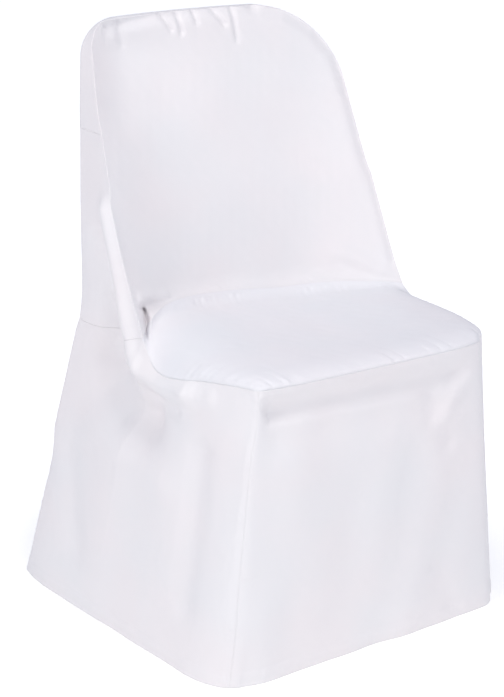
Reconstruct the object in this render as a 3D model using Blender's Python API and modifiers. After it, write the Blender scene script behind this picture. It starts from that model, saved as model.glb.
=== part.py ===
"""Floor-length fitted cover for a folding chair, sewn from nine pieces of thin cloth.

Sizes are in metres. The sitter faces -Y, +Z is up, and left means -X. The hem lies on z = 0, and the
origin is at the middle of the cover's footprint, to which the finished skin is moved from the middle
of the seat, where the seams and folds are laid out. The cover is hollow. Each piece is a patch between
seam curves, and neighbours share the same curve, so the pieces first make one skin. The folds of the
cloth push that skin, it gets its thickness inwards, and it is then parted along the seams.
"""
from dataclasses import dataclass

import bmesh
import bpy
import numpy as np

# Cloth and seams
CLOTH = 0.002
SEAM_INSET = 0.0007
WELD = 0.00001

# Middle of the footprint, from where the seams are laid out
FOOTPRINT_Y = 0.0165

# Cells along the seams of the coarse skin
ACROSS = 20
SEAT_DEPTH = 13
GUSSET_DEPTH = 9
SKIRT_DROP = 15
GUSSET_RISE = 10
BAND_SIDE = 5
NARROWING_AT_SIDES = 0.35
SEAT_SPACING_POWER = 1.25
DROP_SPACING_POWER = 1.3

# Swell of the seams between their corners, and how near a corner they turn in
TURN = 0.024
HEM_REAR_SWELL = 0.006

# Seat, which rises from a rounded rim to above its front seam. Its sides wrap down past its edge, and
# their seams sink towards the rear, come up again steeply at the crease, and leave no trace in the skirt
# from about a third of the way down.
SEAT_LIFT = 0.014
SEAT_RIM = 0.028
SEAT_HOLLOW = 0.006
HANG_SINK_POWER = 1.3
HANG_RETURN_POWER = 9
HANG_FADE_POWER = 4

# Crease between the seat and the inside of the back, bridged by a round that ends at the sides
CREASE_DEPTH = 0.076
CREASE_POWER = 3
CREASE_LIFT = 0.018
CREASE_LIFT_REACH = 0.07
CREASE_RADIUS = 0.034
CREASE_END_POWER = 6
CREASE_REACH = 1.6

# Top of the back
TOP_HEIGHT = 0.860
TOP_CROWN = 0.006
TOP_TILT = 0.005
TOP_FRONT_Y = 0.166
TOP_REAR_Y = 0.188
LEAN_BOW = 0.28
TAPER_POWER = 1.9

CURVE_STEPS = 240

# Finish
CLOTH_COLOUR = (0.86, 0.85, 0.89, 1)
CLOTH_ROUGHNESS = 0.55


@dataclass(frozen=True)
class Side:
    """Where the seams meet on one side of the cover, with how far the seams swell or hang there.

    The seams around the back each have, at their top, a half width and the width and drop of the corner.
    """

    outward: float
    seat_corner: tuple
    crease_corner: tuple
    rear_corner: tuple
    hem_front: tuple
    hem_rear: tuple
    front_swell: float
    hem_swell_front: float
    hem_swell_rear: float
    front_top: tuple
    rear_top: tuple
    seat_side_drop: float
    seat_side_bulge: float
    seat_wrap: float
    gusset_sag: float


LEFT = Side(
    outward=-1,
    seat_corner=(-0.188, -0.236, 0.431),
    crease_corner=(-0.226, -0.010, 0.449),
    rear_corner=(-0.216, 0.178, 0.4245),
    hem_front=(-0.233, -0.234, 0),
    hem_rear=(-0.283, 0.283, 0),
    front_swell=0.008,
    hem_swell_front=0.020,
    hem_swell_rear=0.017,
    front_top=(0.200, 0.030, 0.040),
    rear_top=(0.201, 0.055, 0.046),
    seat_side_drop=0.056,
    seat_side_bulge=0.004,
    seat_wrap=0.065,
    gusset_sag=0.013,
)
RIGHT = Side(
    outward=1,
    seat_corner=(0.212, -0.235, 0.428),
    crease_corner=(0.232, -0.008, 0.449),
    rear_corner=(0.219, 0.178, 0.4245),
    hem_front=(0.267, -0.228, 0),
    hem_rear=(0.289, 0.272, 0),
    front_swell=0.016,
    hem_swell_front=0.010,
    hem_swell_rear=0.012,
    front_top=(0.219, 0.140, 0.125),
    rear_top=(0.223, 0.144, 0.129),
    seat_side_drop=0.028,
    seat_side_bulge=0.016,
    seat_wrap=0.035,
    gusset_sag=0.008,
)


@dataclass(frozen=True)
class RoundedCorner:
    """An upright corner of the skirt, from the seat down to the hem, which the cloth rounds in plan.

    Inward holds the signs that point into the cover along X and Y, and the radii are those at both ends.
    """

    top: tuple
    bottom: tuple
    inward: tuple
    radii: tuple


@dataclass(frozen=True)
class Fold:
    """A soft ridge or trough along a path of points, which pushes the skin near it by a vector."""

    name: str
    width: float
    push: tuple
    path: tuple


def column(values):
    """Returns the values as a column, to scale the rows of an array of points."""
    return np.asarray(values)[:, None]


def straight(start, end, t):
    start, end = np.array(start), np.array(end)
    return start + (end - start) * column(t)


def swelling(start, end, outward, swells, t):
    """Returns a seam that swells between its ends, by one distance near the start and one near the end."""
    length = np.linalg.norm(np.subtract(end, start))
    turned = ((1 - np.exp(-t * length / TURN)) * (1 - np.exp(-(1 - t) * length / TURN))) ** 2
    swell = (swells[0] * (1 - t) + swells[1] * t) * turned
    return straight(start, end, t) + np.array(outward) * column(swell)


def along(points, t):
    """Returns the points at the fractions t of the length of a polyline."""
    steps = np.linalg.norm(np.diff(points, axis=0), axis=1)
    travelled = np.concatenate([[0], np.cumsum(steps)])
    return np.stack([np.interp(t * travelled[-1], travelled, points[:, axis]) for axis in range(3)], 1)


def upwards(values):
    """Returns a row (0, 0, value) for each value."""
    return np.stack([np.zeros_like(values), np.zeros_like(values), values], 1)


def round_rise(t):
    """Returns the height of a quarter of a circle at t, which stays at one from t = 1 on."""
    return np.sqrt(1 - (1 - np.clip(t, 0, 1)) ** 2)


def evenly(t):
    return t


def closer_at_ends(t):
    """Spaces the cells across the cover, so that those at the sides are narrower."""
    return t - NARROWING_AT_SIDES / (2 * np.pi) * np.sin(2 * np.pi * t)


def closer_at_front(t):
    """Spaces the cells of the seat from front to rear."""
    return t ** SEAT_SPACING_POWER


def closer_at_top(t):
    """Spaces the cells of a skirt from the seat down to the hem."""
    return t ** DROP_SPACING_POWER


def along_side(t):
    """Spaces the cells of a side skirt from front to rear, as those of the seat and then evenly."""
    share = SEAT_DEPTH / (SEAT_DEPTH + GUSSET_DEPTH)
    return np.where(t < share, share * closer_at_front(np.clip(t / share, 0, 1)), t)


def up_the_rear(t):
    """Spaces the cells of the rear panel upwards, as those of the side skirts and then evenly."""
    share = SKIRT_DROP / (SKIRT_DROP + GUSSET_RISE + BAND_SIDE)
    return np.where(t < share, share * (1 - closer_at_top(np.clip(1 - t / share, 0, 1))), t)


def seat_front(t):
    """Returns the seam between the seat and the front skirt, from left to right."""
    swells = (LEFT.front_swell, RIGHT.front_swell)
    return swelling(LEFT.seat_corner, RIGHT.seat_corner, (0, -1, 0), swells, t)


def seat_side_hang(side, t):
    """Returns how far the seam of the seat's side lies out and down from the edge of the seat."""
    down = side.seat_side_drop * t ** HANG_SINK_POWER * (1 - t ** HANG_RETURN_POWER)
    out = side.seat_side_bulge * np.sin(np.pi * t)
    return np.stack([side.outward * out, np.zeros_like(t), -down], 1)


def seat_edge(side, t):
    """Returns the straight edge of the seat, from the front corner to the crease."""
    return straight(side.seat_corner, side.crease_corner, t)


def gusset_foot(side, t):
    """Returns the seam between a gusset and a side skirt, from the crease to the rear corner."""
    return straight(side.crease_corner, side.rear_corner, t) - upwards(side.gusset_sag * np.sin(np.pi * t))


def crease(t):
    """Returns the seam at the back of the seat, which bends back between its two ends."""
    seam = straight(LEFT.crease_corner, RIGHT.crease_corner, t)
    seam[:, 1] += CREASE_DEPTH * (1 - np.abs(2 * t - 1) ** CREASE_POWER)
    from_left = seam[:, 0] - LEFT.crease_corner[0]
    seam[:, 2] += CREASE_LIFT * from_left / CREASE_LIFT_REACH * np.exp(1 - from_left / CREASE_LIFT_REACH)
    return seam


@dataclass(frozen=True)
class BackSeam:
    """A seam around the back: one in front, between band and inside back, and one at the rear.

    From each foot it rises to a rounded corner, a quarter of an ellipse, and runs on over the crowned
    top. On the way up it leans back, most at the foot by its bow, and draws in, most near the corner.
    """

    feet: tuple
    tops: tuple
    top_y: float
    bow: float

    def half_line(self, index):
        """Returns one side as a polyline from the foot to the middle of the top, and its corner's middle."""
        foot, (half, width, drop) = self.feet[index], self.tops[index]
        angle = np.linspace(0, np.pi / 2, CURVE_STEPS)
        shoulder = TOP_HEIGHT - TOP_CROWN - drop
        rising = np.linspace(0, 1, CURVE_STEPS, endpoint=False)
        side_x = abs(foot[0]) + (half - abs(foot[0])) * rising ** TAPER_POWER
        side_z = foot[2] + (shoulder - foot[2]) * rising
        corner_x = half - width * (1 - np.cos(angle))
        corner_z = shoulder + drop * np.sin(angle)
        top_x = np.linspace(corner_x[-1], 0, CURVE_STEPS)[1:]
        x = np.concatenate([side_x, corner_x, top_x])
        z = np.concatenate([side_z, corner_z, np.full_like(top_x, corner_z[-1])])
        crown = TOP_CROWN * np.clip(1 - (x / half) ** 2, 0, 1)
        tilt = -np.sign(foot[0]) * TOP_TILT * x / half
        z = z + (crown + tilt) * np.clip((z - shoulder) / drop, 0, 1)
        height = (z - foot[2]) / (TOP_HEIGHT - foot[2])
        y = foot[1] + (self.top_y - foot[1]) * (height + self.bow * height * (1 - height))
        return np.stack([np.sign(foot[0]) * x, y, z], 1), CURVE_STEPS + CURVE_STEPS // 2

    def rise(self, side, t):
        """Returns the part at one side, upwards from its foot to the middle of the top corner."""
        line, middle = self.half_line(0 if side is LEFT else 1)
        return along(line[:middle], t)

    def arch(self, t):
        """Returns the part over the top, from left to right."""
        left, left_middle = self.half_line(0)
        right, right_middle = self.half_line(1)
        return along(np.concatenate([left[left_middle - 1:], right[right_middle - 1:][::-1][1:]]), t)


FRONT_SEAM = BackSeam((LEFT.crease_corner, RIGHT.crease_corner),
                      (LEFT.front_top, RIGHT.front_top), TOP_FRONT_Y, LEAN_BOW)
REAR_SEAM = BackSeam((LEFT.rear_corner, RIGHT.rear_corner),
                     (LEFT.rear_top, RIGHT.rear_top), TOP_REAR_Y, 0)


def hem_front(t):
    swells = (LEFT.front_swell, RIGHT.front_swell)
    return swelling(LEFT.hem_front, RIGHT.hem_front, (0, -1, 0), swells, t)


def hem_side(side, t):
    swells = (side.hem_swell_front, side.hem_swell_rear)
    return swelling(side.hem_front, side.hem_rear, (side.outward, 0, 0), swells, t)


def hem_rear(t):
    swells = (HEM_REAR_SWELL, HEM_REAR_SWELL)
    return swelling(LEFT.hem_rear, RIGHT.hem_rear, (0, 1, 0), swells, t)


def front_corner_seam(side, t):
    """Returns the seam from a front corner of the seat down to the hem."""
    return straight(side.seat_corner, side.hem_front, t)


def rear_corner_seam(side, t):
    """Returns the seam from a rear corner at seat level down to the hem."""
    return straight(side.rear_corner, side.hem_rear, t)


def joined(first, second, share, t):
    """Returns one curve from two that meet, where the first has a share of the parameter t."""
    early = np.clip(t / share, 0, 1)
    late = np.clip((t - share) / (1 - share), 0, 1)
    return np.where(column(t <= share), first(early), second(late))


def patch(bottom, top, left, right):
    """Returns a function of u and v for the Coons patch between four curves that meet at its corners."""

    def surface(u, v):
        zero, one = np.zeros(1), np.ones(1)
        ruled_up = bottom(u) * column(1 - v) + top(u) * column(v)
        ruled_across = left(v) * column(1 - u) + right(v) * column(u)
        low = bottom(zero) * column(1 - u) + bottom(one) * column(u)
        high = top(zero) * column(1 - u) + top(one) * column(u)
        return ruled_up + ruled_across - low * column(1 - v) - high * column(v)

    return surface


def inside_back():
    return patch(crease, FRONT_SEAM.arch,
                 lambda t: FRONT_SEAM.rise(LEFT, t), lambda t: FRONT_SEAM.rise(RIGHT, t))


def seat():
    """Returns the seat, nearly flat on top, with a rounded rim and sides that wrap down to their seams."""
    flat = patch(seat_front, crease, lambda t: seat_edge(LEFT, t), lambda t: seat_edge(RIGHT, t))
    width = RIGHT.seat_corner[0] - LEFT.seat_corner[0]
    depth = LEFT.crease_corner[1] - LEFT.seat_corner[1]
    wrap_left, wrap_right = LEFT.seat_wrap / width, RIGHT.seat_wrap / width

    def surface(u, v):
        from_left = np.clip(u / wrap_left, 0, 1)
        from_right = np.clip((1 - u) / wrap_right, 0, 1)
        hanging = seat_side_hang(LEFT, v) * column((1 - from_left) ** 2)
        hanging += seat_side_hang(RIGHT, v) * column((1 - from_right) ** 2)
        turned = np.sin(np.pi * v)
        squeezed = u + turned * (wrap_right * from_right * (1 - from_right)
                                 - wrap_left * from_left * (1 - from_left))
        rim = round_rise(v * depth / SEAT_RIM)
        rim = rim * round_rise(u * width / SEAT_RIM) * round_rise((1 - u) * width / SEAT_RIM)
        hollow = SEAT_HOLLOW * np.sin(np.pi * u) * turned
        return flat(squeezed, v) + hanging + upwards(SEAT_LIFT * (1 - v) * rim - hollow)

    return surface


def front_skirt():
    return patch(seat_front, hem_front,
                 lambda t: front_corner_seam(LEFT, t), lambda t: front_corner_seam(RIGHT, t))


def side_skirt(side):
    """Returns a side panel below the seat, which loses the shape of its top seam on the way down."""
    share = SEAT_DEPTH / (SEAT_DEPTH + GUSSET_DEPTH)

    def top(t):
        return joined(lambda s: seat_edge(side, s), lambda s: gusset_foot(side, s), share, t)

    hanging = patch(top, lambda t: hem_side(side, t),
                    lambda t: front_corner_seam(side, t), lambda t: rear_corner_seam(side, t))

    def surface(u, v):
        hang = seat_side_hang(side, np.clip(u / share, 0, 1))
        return hanging(u, v) + hang * column((1 - v) ** HANG_FADE_POWER)

    return surface


def rear_panel():
    share = SKIRT_DROP / (SKIRT_DROP + GUSSET_RISE + BAND_SIDE)

    def edge(side, t):
        return joined(lambda s: rear_corner_seam(side, 1 - s), lambda s: REAR_SEAM.rise(side, s), share, t)

    return patch(hem_rear, REAR_SEAM.arch, lambda t: edge(LEFT, t), lambda t: edge(RIGHT, t))


def gusset(side):
    share = GUSSET_RISE / (GUSSET_RISE + BAND_SIDE)

    def head(t):
        end = np.array([share])
        return straight(FRONT_SEAM.rise(side, end)[0], REAR_SEAM.rise(side, end)[0], t)

    return patch(lambda t: gusset_foot(side, t), head,
                 lambda t: FRONT_SEAM.rise(side, share * t), lambda t: REAR_SEAM.rise(side, share * t))


def top_band():
    """Returns the strip over the top, from the head of the left gusset to that of the right one."""
    side_share = BAND_SIDE / (BAND_SIDE + ACROSS + BAND_SIDE)
    head = GUSSET_RISE / (GUSSET_RISE + BAND_SIDE)

    def seam(back_seam, t):
        up = head + (1 - head) * np.clip(t / side_share, 0, 1)
        over = closer_at_ends(np.clip((t - side_share) / (1 - 2 * side_share), 0, 1))
        down = head + (1 - head) * np.clip((1 - t) / side_share, 0, 1)
        ends = np.where(column(t < 0.5), back_seam.rise(LEFT, up), back_seam.rise(RIGHT, down))
        on_top = (t > side_share) & (t < 1 - side_share)
        return np.where(column(on_top), back_seam.arch(over), ends)

    def surface(u, v):
        return seam(FRONT_SEAM, u) * column(1 - v) + seam(REAR_SEAM, u) * column(v)

    return surface


@dataclass(frozen=True)
class Panel:
    """A cut piece of the cover: its node's name, its patch, and the cells and their spacing along u and v."""

    name: str
    surface: object
    cells: tuple
    spacing: tuple

    def points(self, u, v):
        """Returns the folded surface at u and v, as an array with a row for each point."""
        space_u, space_v = self.spacing
        return folded(rounded(self.surface(space_u(u), space_v(v)))) - (0, FOOTPRINT_Y, 0)


def panels():
    side_cells = (SEAT_DEPTH + GUSSET_DEPTH, SKIRT_DROP)
    side_spacing = (along_side, closer_at_top)
    gusset_cells = (GUSSET_DEPTH, GUSSET_RISE)
    back_cells = GUSSET_RISE + BAND_SIDE
    even = (evenly, evenly)
    return [
        Panel("inside_back", inside_back(), (ACROSS, back_cells), (closer_at_ends, evenly)),
        Panel("seat", seat(), (ACROSS, SEAT_DEPTH), (closer_at_ends, closer_at_front)),
        Panel("front_skirt", front_skirt(), (ACROSS, SKIRT_DROP), (closer_at_ends, closer_at_top)),
        Panel("side_skirt_left", side_skirt(LEFT), side_cells, side_spacing),
        Panel("side_skirt_right", side_skirt(RIGHT), side_cells, side_spacing),
        Panel("rear_panel", rear_panel(), (ACROSS, SKIRT_DROP + back_cells), (closer_at_ends, up_the_rear)),
        Panel("gusset_left", gusset(LEFT), gusset_cells, even),
        Panel("gusset_right", gusset(RIGHT), gusset_cells, even),
        Panel("top_band", top_band(), (ACROSS + 2 * BAND_SIDE, GUSSET_DEPTH), even),
    ]


CORNERS = (
    RoundedCorner(LEFT.seat_corner, LEFT.hem_front, (1, 1), (0.009, 0.030)),
    RoundedCorner(RIGHT.seat_corner, RIGHT.hem_front, (-1, 1), (0.030, 0.045)),
    RoundedCorner(LEFT.rear_corner, LEFT.hem_rear, (1, -1), (0.003, 0.034)),
    RoundedCorner(RIGHT.rear_corner, RIGHT.hem_rear, (-1, -1), (0.003, 0.034)),
)

FOLDS = (
    Fold("dip of the crease at the right", 0.070, (0, -0.003, -0.006),
         ((0.070, 0.066, 0.452), (0.180, 0.040, 0.450))),
    Fold("tuck below the front edge", 0.017, (0, 0.012, 0),
         ((-0.165, -0.240, 0.400), (0.000, -0.240, 0.396), (0.150, -0.240, 0.388))),
    Fold("edge below the front tuck", 0.010, (0, -0.004, 0),
         ((-0.165, -0.240, 0.379), (0.000, -0.240, 0.374), (0.100, -0.240, 0.368))),
    Fold("corner tuck", 0.030, (0.005, 0, 0),
         ((-0.186, -0.234, 0.402), (-0.190, -0.234, 0.380))),
    Fold("roll down the left of the inside back", 0.017, (-0.013, 0, 0),
         ((-0.219, 0.092, 0.610), (-0.223, 0.044, 0.495), (-0.226, 0.028, 0.450),
          (-0.229, 0.014, 0.418), (-0.229, -0.010, 0.400), (-0.223, -0.050, 0.393), (-0.214, -0.110, 0.398))),
    Fold("hollow of the left gusset", 0.024, (0.018, 0, 0),
         ((-0.219, 0.120, 0.545), (-0.222, 0.098, 0.480), (-0.226, 0.080, 0.425))),
    Fold("hollow below the left roll", 0.036, (0.030, 0, 0),
         ((-0.226, 0.098, 0.402), (-0.229, 0.080, 0.358), (-0.232, 0.036, 0.334), (-0.230, -0.015, 0.332))),
    Fold("lobe below the left seat seam", 0.016, (-0.006, 0, 0.002),
         ((-0.212, -0.110, 0.388), (-0.206, -0.150, 0.398))),
    Fold("upright trough of the left side", 0.022, (0.007, 0, 0),
         ((-0.218, -0.144, 0.318), (-0.236, -0.142, 0.163), (-0.244, -0.140, 0.100))),
    Fold("slanting ridge of the left side", 0.032, (-0.005, 0, 0),
         ((-0.248, 0.110, 0.276), (-0.236, -0.067, 0.257))),
    Fold("rear trough of the left side", 0.024, (0.005, 0, 0),
         ((-0.255, 0.165, 0.220), (-0.275, 0.120, 0.090))),
    Fold("bulge of the left rear corner", 0.045, (-0.007, 0.005, 0),
         ((-0.221, 0.183, 0.405), (-0.247, 0.211, 0.260))),
    Fold("slit above the left seat corner", 0.012, (0.009, 0.010, 0),
         ((-0.184, 0.048, 0.464), (-0.202, 0.018, 0.452))),
    Fold("shadowed fold at the left of the crease", 0.012, (0, 0.012, 0),
         ((-0.190, 0.060, 0.480), (-0.135, 0.070, 0.474))),
    Fold("ridge at the right of the crease", 0.014, (-0.006, -0.007, 0),
         ((0.170, 0.075, 0.492), (0.218, 0.028, 0.464))),
    Fold("trough at the right of the crease", 0.013, (0.005, 0.006, 0),
         ((0.164, 0.072, 0.476), (0.212, 0.030, 0.450))),
    Fold("hollow at the upper left of the back", 0.042, (0, 0.014, 0),
         ((-0.160, 0.155, 0.810), (-0.168, 0.142, 0.745))),
    Fold("hollow of the inside back", 0.120, (0, 0.007, 0),
         ((0.000, 0.120, 0.640), (0.000, 0.135, 0.720))),
    Fold("streak below the right corner", 0.014, (0, -0.005, 0),
         ((0.155, -0.238, 0.376), (0.122, -0.240, 0.322))),
    Fold("dent below the right corner", 0.016, (0, 0.006, 0),
         ((0.104, -0.240, 0.362), (0.112, -0.240, 0.330), (0.135, -0.240, 0.290))),
    Fold("low trough at the right of the front", 0.018, (0, 0.005, 0),
         ((0.125, -0.240, 0.090), (0.160, -0.240, 0.020))),
    Fold("low ridge at the left of the front", 0.040, (0, -0.004, 0),
         ((-0.190, -0.236, 0.080), (-0.170, -0.238, 0.010))),
    Fold("roll down the right of the inside back", 0.018, (0.007, 0, 0),
         ((0.222, 0.080, 0.590), (0.230, 0.030, 0.460), (0.228, -0.040, 0.400))),
    Fold("hollow of the right gusset", 0.026, (-0.010, 0, 0),
         ((0.219, 0.118, 0.560), (0.224, 0.085, 0.430))),
    Fold("hollow of the right side", 0.060, (-0.010, 0, 0),
         ((0.232, 0.050, 0.350), (0.240, -0.060, 0.300))),
    Fold("upright trough of the right side", 0.030, (-0.008, 0, 0),
         ((0.240, 0.120, 0.300), (0.268, 0.130, 0.060))),
    Fold("left trough of the rear", 0.030, (0, -0.008, 0),
         ((-0.090, 0.190, 0.400), (-0.110, 0.232, 0.060))),
    Fold("right trough of the rear", 0.026, (0, -0.007, 0),
         ((0.120, 0.192, 0.360), (0.128, 0.230, 0.080))),
    Fold("hollow of the rear", 0.110, (0, -0.010, 0),
         ((0.000, 0.190, 0.560), (0.000, 0.190, 0.700))),
)


def nearest_distance(points, path):
    """Returns the distance of each point from a path of straight stretches."""
    distance = np.full(len(points), np.inf)
    for start, end in zip(path[:-1], path[1:]):
        line = np.subtract(end, start)
        t = np.clip((points - start) @ line / (line @ line), 0, 1)
        distance = np.minimum(distance, np.linalg.norm(points - straight(start, end, t), axis=1))
    return distance


def onto_round(points, axes, line, inward, radius, reach):
    """Returns the points, with those near a line drawn onto a round that bridges it.

    The two axes are those across the line, and inward holds the signs that point to the round's middle.
    Seen from there, a point keeps its direction, and its new distance is the larger of its two offsets,
    which turns a square into a circle. Points with an offset beyond the reach stay where they are.
    """
    middle = line + inward * column(radius)
    offset = (middle - points[:, axes]) * inward
    near = np.all((offset > 0) & (offset < column(reach)), axis=1)
    drawn = offset[near].max(axis=1) / np.linalg.norm(offset[near], axis=1)
    moved = points.copy()
    moved[np.ix_(near, axes)] = middle[near] - offset[near] * column(drawn) * inward
    return moved


def rounded(points):
    """Returns the points, with those near the crease and near the upright corners drawn onto rounds."""
    t = (points[:, 0] - LEFT.crease_corner[0]) / (RIGHT.crease_corner[0] - LEFT.crease_corner[0])
    radius = CREASE_RADIUS * (1 - np.clip(np.abs(2 * t - 1), 0, 1) ** CREASE_END_POWER)
    line = crease(np.clip(t, 0, 1))[:, 1:]
    moved = onto_round(points, (1, 2), line, np.array((-1, 1)), radius, CREASE_REACH * radius)
    for corner in CORNERS:
        down = np.clip((corner.top[2] - points[:, 2]) / (corner.top[2] - corner.bottom[2]), 0, 1)
        radius = corner.radii[0] + (corner.radii[1] - corner.radii[0]) * down
        line = straight(corner.top, corner.bottom, down)[:, :2]
        moved = onto_round(moved, (0, 1), line, np.array(corner.inward), radius, np.full(len(points), np.inf))
    return moved


def folded(points):
    """Returns the points pushed by every fold, each with a bell-shaped falloff from its path."""
    moved = points.copy()
    for fold in FOLDS:
        closeness = np.exp(-(nearest_distance(points, fold.path) / fold.width) ** 2)
        moved += np.array(fold.push) * column(closeness)
    return moved


def add_panel(skin, panel, index):
    """Adds a grid for one panel to the skin, with the panel's index as its material."""
    grid = bmesh.ops.create_grid(skin, x_segments=panel.cells[0], y_segments=panel.cells[1], size=0.5)
    verts = grid["verts"]
    flat = np.array([vert.co for vert in verts]) + 0.5
    for vert, place in zip(verts, panel.points(flat[:, 0], flat[:, 1])):
        vert.co = place
    for face in {face for vert in verts for face in vert.link_faces}:
        face.material_index = index


def thick_skin(pieces):
    """Returns one mesh of all the pieces, with an inner face behind each outer one.

    The inner faces have the material index of their piece plus the number of pieces.
    """
    skin = bmesh.new()
    for index, panel in enumerate(pieces):
        add_panel(skin, panel, index)
    bmesh.ops.remove_doubles(skin, verts=skin.verts, dist=WELD)
    bmesh.ops.recalc_face_normals(skin, faces=skin.faces)
    mesh = bpy.data.meshes.new("skin")
    skin.to_mesh(mesh)
    skin.free()
    holder = bpy.data.objects.new("skin", mesh)
    bpy.context.scene.collection.objects.link(holder)
    solidify = holder.modifiers.new("Cloth", "SOLIDIFY")
    solidify.thickness = CLOTH
    solidify.offset = -1
    solidify.use_quality_normals = True
    solidify.use_rim = False
    solidify.material_offset = len(pieces)
    for material in range(2 * len(pieces)):
        mesh.materials.append(None)
    bpy.context.view_layer.update()
    graph = bpy.context.evaluated_depsgraph_get()
    thick = bpy.data.meshes.new_from_object(holder.evaluated_get(graph))
    bpy.data.objects.remove(holder)
    return thick


def draw_in(piece):
    """Moves the border of an open piece in along the cloth, which parts it from its neighbours."""
    moves = {}
    for vert in piece.verts:
        if not vert.is_boundary:
            continue
        inward = [edge.other_vert(vert).co - vert.co for edge in vert.link_edges if not edge.is_boundary]
        corner = not inward
        if corner:
            inward = [edge.other_vert(vert).co - vert.co for edge in vert.link_edges]
        total = sum((step.normalized() for step in inward[1:]), inward[0].normalized())
        moves[vert] = total * SEAM_INSET if corner else total.normalized() * SEAM_INSET
    for vert, move in moves.items():
        vert.co += move


def piece_mesh(thick, name, indices):
    """Returns one closed piece: its outer and inner faces, drawn in and joined around the border."""
    piece = bmesh.new()
    piece.from_mesh(thick)
    others = [face for face in piece.faces if face.material_index not in indices]
    bmesh.ops.delete(piece, geom=others, context="FACES")
    draw_in(piece)
    border = [edge for edge in piece.edges if edge.is_boundary]
    bmesh.ops.bridge_loops(piece, edges=border)
    for vert in piece.verts:
        vert.co.z = max(vert.co.z, 0)
    for face in piece.faces:
        face.material_index = 0
        face.smooth = True
    bmesh.ops.recalc_face_normals(piece, faces=piece.faces)
    mesh = bpy.data.meshes.new(name)
    piece.to_mesh(mesh)
    piece.free()
    return mesh


def cloth_material(name):
    material = bpy.data.materials.new(name)
    material.use_nodes = True
    shader = material.node_tree.nodes["Principled BSDF"]
    shader.inputs["Base Color"].default_value = CLOTH_COLOUR
    shader.inputs["Roughness"].default_value = CLOTH_ROUGHNESS
    shader.inputs["Metallic"].default_value = 0
    return material


def main():
    for item in list(bpy.data.objects):
        bpy.data.objects.remove(item)
    cover = bpy.data.collections.new("chair_cover")
    bpy.context.scene.collection.children.link(cover)
    pieces = panels()
    thick = thick_skin(pieces)
    for index, panel in enumerate(pieces):
        mesh = piece_mesh(thick, panel.name, (index, index + len(pieces)))
        mesh.materials.append(cloth_material(f"polyester_{panel.name}"))
        cover.objects.link(bpy.data.objects.new(panel.name, mesh))
    bpy.data.meshes.remove(thick)


main()
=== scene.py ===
"""Looks of a floor-length fitted cover for a folding chair, sewn from nine pieces of white polyester.

Sizes are in metres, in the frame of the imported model: the sitter faces -Y, +Z is up, left means -X, and
the hem lies on z = 0. Each cut piece is a sheet between seam curves: a surface of two parameters that is
pushed by soft folds, stands up beside its seams, and is turned up along its hem.
"""

import logging
import math
from dataclasses import dataclass, field
from enum import Enum
from typing import Callable

import bpy
import numpy as np
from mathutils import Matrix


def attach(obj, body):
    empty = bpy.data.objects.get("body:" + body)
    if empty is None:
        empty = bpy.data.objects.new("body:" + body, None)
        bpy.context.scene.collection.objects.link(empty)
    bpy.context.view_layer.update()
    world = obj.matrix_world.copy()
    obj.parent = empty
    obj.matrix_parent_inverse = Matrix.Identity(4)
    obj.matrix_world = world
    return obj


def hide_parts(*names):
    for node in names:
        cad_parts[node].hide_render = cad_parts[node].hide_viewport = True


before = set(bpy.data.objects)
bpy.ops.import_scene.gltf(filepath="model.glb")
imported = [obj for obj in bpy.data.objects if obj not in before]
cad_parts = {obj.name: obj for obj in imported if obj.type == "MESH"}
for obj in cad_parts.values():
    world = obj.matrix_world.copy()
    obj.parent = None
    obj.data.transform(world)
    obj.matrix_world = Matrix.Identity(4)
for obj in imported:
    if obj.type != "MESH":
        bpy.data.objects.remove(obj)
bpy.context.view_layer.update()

LOG = logging.getLogger("chair_cover")
LAMP_COLOUR = (1.0, 0.955, 0.905)

Array = np.ndarray
Point = tuple[float, float, float]
Curve = Callable[[Array], Array]
Surface = Callable[[Array, Array], Array]


def column(values: Array) -> Array:
    """Returns the values as a column, to scale the rows of an array of points."""
    return np.asarray(values)[:, None]


def upwards(values: Array) -> Array:
    """Returns a row (0, 0, value) for each value."""
    return np.stack([np.zeros_like(values), np.zeros_like(values), values], axis=1)


def straight(start: Point, end: Point, t: Array) -> Array:
    """Returns the points that lie at the fractions t of the way from start to end."""
    return np.array(start) + (np.array(end) - np.array(start)) * column(t)


def bell(distance: Array, width: float) -> Array:
    """Returns exp(-(distance / width) squared), which is one on the line and fades beside it."""
    return np.exp(-(distance / width) ** 2)


def smooth_step(value: Array, start: float, end: float) -> Array:
    """Returns a soft step from zero to one, three t squared less two t cubed."""
    t = np.clip((value - start) / (end - start), 0, 1)
    return t * t * (3 - 2 * t)


def round_rise(t: Array) -> Array:
    """Returns a quarter of a circle, the square root of 1 - (1 - t) squared, which is one from t = 1 on."""
    return np.sqrt(1 - (1 - np.clip(t, 0, 1)) ** 2)


def along(points: Array, t: Array) -> Array:
    """Walks along a polyline.

    Args:
        points: The corners of the polyline, one in each row.
        t: Fractions of its whole length.

    Returns:
        The point at each fraction, straight between the two corners beside it.
    """
    steps = np.linalg.norm(np.diff(points, axis=0), axis=1)
    travelled = np.concatenate([[0], np.cumsum(steps)])
    return np.stack([np.interp(t * travelled[-1], travelled, points[:, axis]) for axis in range(3)], axis=1)


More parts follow.
